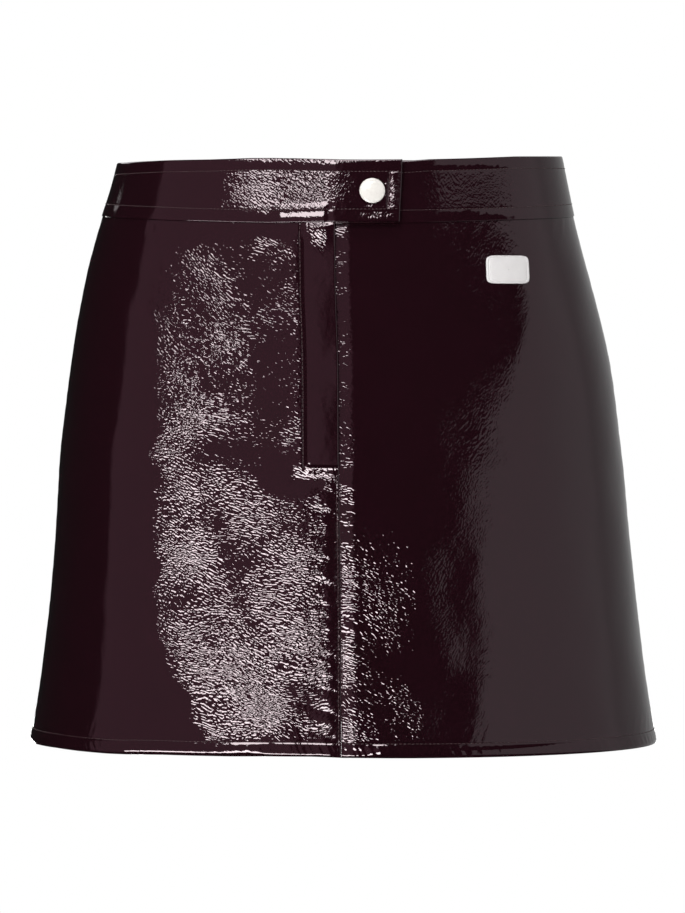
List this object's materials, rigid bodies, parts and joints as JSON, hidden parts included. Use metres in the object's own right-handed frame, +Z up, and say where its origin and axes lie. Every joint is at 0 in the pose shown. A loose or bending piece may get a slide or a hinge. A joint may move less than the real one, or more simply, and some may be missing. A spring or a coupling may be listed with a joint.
{
  "type": "mini skirt",
  "caption": "Short A-line skirt in glossy coated cloth, worn form, with a fly front, a tabbed waistband closed by a snap, and a stitched hem.",
  "frame": {"origin": "middle of the waist, half-way up the waistband, where the wearer holds the skirt up", "axes": "+Z up, the front faces -Y, +X towards the wearer's left"},
  "size_m": [0.4141, 0.2605, 0.3867],
  "materials": {
    "coated_cloth": "dark oxblood polyurethane coating on cotton, high gloss, finely crinkled",
    "white_enamel": "off-white enamel, gloss",
    "nickel": "nickel plate",
    "zip_tape": "woven polyester tape",
    "badge": "white vinyl, gloss"
  },
  "bodies": {
    "root": {"front_right": "coated_cloth", "front_left": "coated_cloth", "back": "coated_cloth", "band_right": "coated_cloth", "band_left": "coated_cloth", "band_back": "coated_cloth", "snap_cap": "white_enamel", "snap_stud": "nickel", "zip_tape": "zip_tape", "zip_slider": "nickel", "badge": "badge"}
  },
  "joints": []
}
